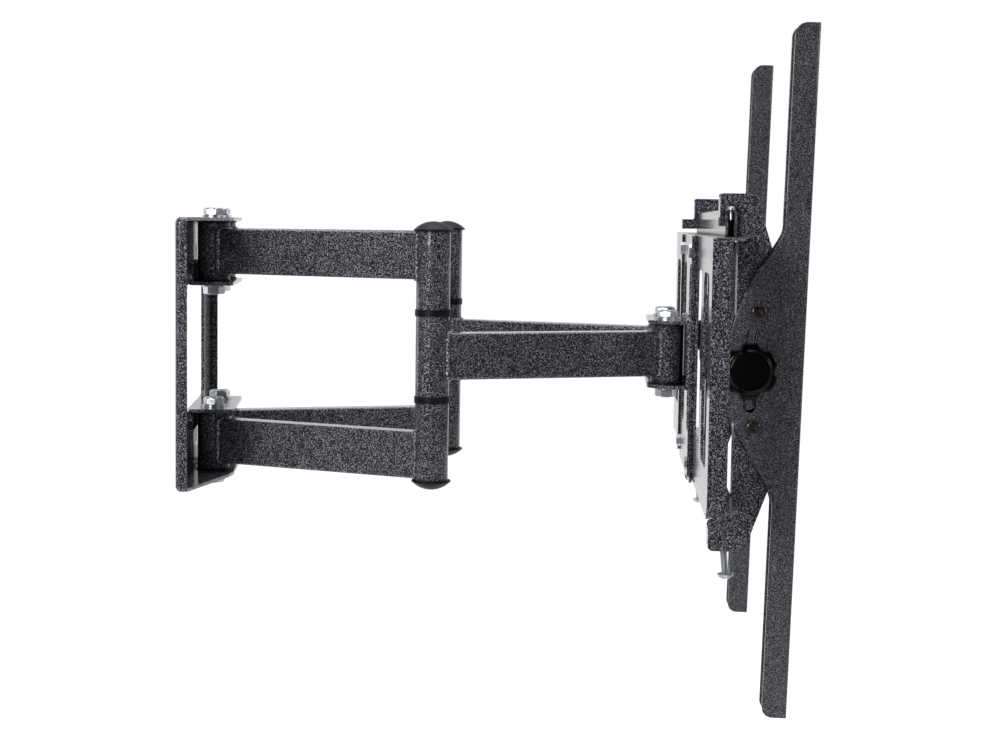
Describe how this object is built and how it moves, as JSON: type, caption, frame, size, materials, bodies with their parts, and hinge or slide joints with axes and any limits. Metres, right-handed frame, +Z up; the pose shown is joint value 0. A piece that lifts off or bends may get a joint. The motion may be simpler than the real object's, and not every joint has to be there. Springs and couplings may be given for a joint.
{
  "type": "full motion wall mount",
  "caption": "Folding double-arm wall mount for a flat screen: slotted wall plate, hinged arms, wide adapter plate and two tilting channel brackets on hook arms.",
  "frame": {"origin": "centre of the wall plate's four corner slots, on the wall face", "axes": "+X away from the wall, +Y along the wall, +Z up"},
  "size_m": [0.5652, 0.6365, 0.5541],
  "materials": {
    "hammertone": "hammertone powder coat, dark charcoal",
    "plastic": "moulded black plastic",
    "zinc": "bright zinc plated fasteners",
    "black_steel": "dark plated fasteners with bright edges",
    "plain_steel": "plain drawn steel tube"
  },
  "bodies": {
    "wall": {"wall_plate": "hammertone", "inner_ear_upper": "hammertone", "inner_ear_lower": "hammertone", "wall_pivot_bolts": "zinc", "wall_pivot_washers": "zinc", "wall_pivot_nuts": "zinc"},
    "rear_near": {"rear_near_upper_barrel": "hammertone", "rear_near_upper_tube": "hammertone", "rear_near_upper_sleeve": "hammertone", "rear_near_lower_barrel": "hammertone", "rear_near_lower_tube": "hammertone", "rear_near_lower_sleeve": "hammertone", "rear_near_bushes": "plastic", "elbow_near_pin": "plain_steel", "elbow_near_rings": "plastic", "elbow_near_caps": "plastic"},
    "front_near": {"front_near_sleeve": "hammertone", "front_near_tube": "hammertone", "front_near_barrel": "hammertone", "front_near_bushes": "plastic"},
    "rear_far": {"rear_far_upper_barrel": "hammertone", "rear_far_upper_tube": "hammertone", "rear_far_upper_sleeve": "hammertone", "rear_far_lower_barrel": "hammertone", "rear_far_lower_tube": "hammertone", "rear_far_lower_sleeve": "hammertone", "rear_far_bushes": "plastic", "elbow_far_pin": "plain_steel", "elbow_far_rings": "plastic", "elbow_far_caps": "plastic"},
    "front_far": {"front_far_sleeve": "hammertone", "front_far_tube": "hammertone", "front_far_barrel": "hammertone", "front_far_bushes": "plastic"},
    "head": {"head_yoke": "hammertone", "head_pivot_bolts": "zinc", "head_pivot_washers": "zinc", "head_pivot_nuts": "zinc", "centre_plate": "hammertone", "centre_bolts": "zinc", "centre_nuts": "zinc", "adapter_plate": "hammertone", "top_rail": "hammertone", "rail_screws": "zinc"},
    "carriage_near": {"hook_arm_near": "hammertone", "tilt_stud_near": "zinc", "tilt_washers_near": "zinc"},
    "bracket_near": {"tv_bracket_near": "hammertone", "guide_bolts_near": "black_steel", "guide_nuts_near": "black_steel"},
    "knob_near": {"knob_near": "plastic"},
    "lock_near": {"lock_screw_near": "zinc"},
    "carriage_far": {"hook_arm_far": "hammertone", "tilt_stud_far": "zinc", "tilt_washers_far": "zinc"},
    "bracket_far": {"tv_bracket_far": "hammertone", "guide_bolts_far": "black_steel", "guide_nuts_far": "black_steel"},
    "knob_far": {"knob_far": "plastic"},
    "lock_far": {"lock_screw_far": "zinc"}
  },
  "joints": [
    {"name": "extend", "type": "hinge", "parent": "wall", "child": "rear_near", "pos_m": [0.022, -0.034, 0.085], "axis": [0, 0, 1], "range_deg": [-50, 15]},
    {"name": "near_elbow", "type": "hinge", "parent": "rear_near", "child": "front_near", "pos_m": [0.21497, -0.13965, 0], "axis": [0, 0, 1], "range_deg": [-26, 86]},
    {"name": "head_turn", "type": "hinge", "parent": "front_near", "child": "head", "pos_m": [0.42656, -0.07938, 0], "axis": [0, 0, 1], "range_deg": [-53, 16]},
    {"name": "far_shoulder", "type": "hinge", "parent": "wall", "child": "rear_far", "pos_m": [0.022, 0.034, 0.085], "axis": [0, 0, 1], "range_deg": [-11, 35.5]},
    {"name": "far_elbow", "type": "hinge", "parent": "rear_far", "child": "front_far", "pos_m": [0.2366, 0.08246, 0], "axis": [0, 0, 1], "range_deg": [-85, 26]},
    {"name": "near_slide", "type": "slide", "parent": "head", "child": "carriage_near", "axis": [0.1288, 0.9917, 0], "range_m": [0, 0.1]},
    {"name": "near_tilt", "type": "hinge", "parent": "carriage_near", "child": "bracket_near", "pos_m": [0.64353, -0.27495, -0.00351], "axis": [0.1288, 0.9917, 0], "range_deg": [-8, 8]},
    {"name": "near_knob_turn", "type": "hinge", "parent": "carriage_near", "child": "knob_near", "pos_m": [0.46309, -0.25152, 0.00052], "axis": [0.1288, 0.9917, 0], "range_deg": [-360, 360]},
    {"name": "near_lock_screw_out", "type": "slide", "parent": "carriage_near", "child": "lock_near", "axis": [0.1037, -0.0135, -0.9945], "range_m": [0, 0.03]},
    {"name": "far_slide", "type": "slide", "parent": "head", "child": "carriage_far", "axis": [0.1288, 0.9917, 0], "range_m": [-0.1, 0]},
    {"name": "far_tilt", "type": "hinge", "parent": "carriage_far", "child": "bracket_far", "pos_m": [0.69505, 0.12172, -0.00351], "axis": [0.1288, 0.9917, 0], "range_deg": [-8, 8]},
    {"name": "far_knob_turn", "type": "hinge", "parent": "carriage_far", "child": "knob_far", "pos_m": [0.51461, 0.14515, 0.00052], "axis": [0.1288, 0.9917, 0], "range_deg": [-360, 360]},
    {"name": "far_lock_screw_out", "type": "slide", "parent": "carriage_far", "child": "lock_far", "axis": [0.1037, -0.0135, -0.9945], "range_m": [0, 0.03]}
  ],
  "couplings": [
    {"joint": "near_elbow", "follows": "extend", "ratio": -1.717},
    {"joint": "head_turn", "follows": "extend", "ratio": 1.0471},
    {"joint": "far_shoulder", "follows": "extend", "ratio": -0.7028},
    {"joint": "far_elbow", "follows": "extend", "ratio": 1.6834},
    {"joint": "far_tilt", "follows": "near_tilt", "ratio": 1}
  ]
}
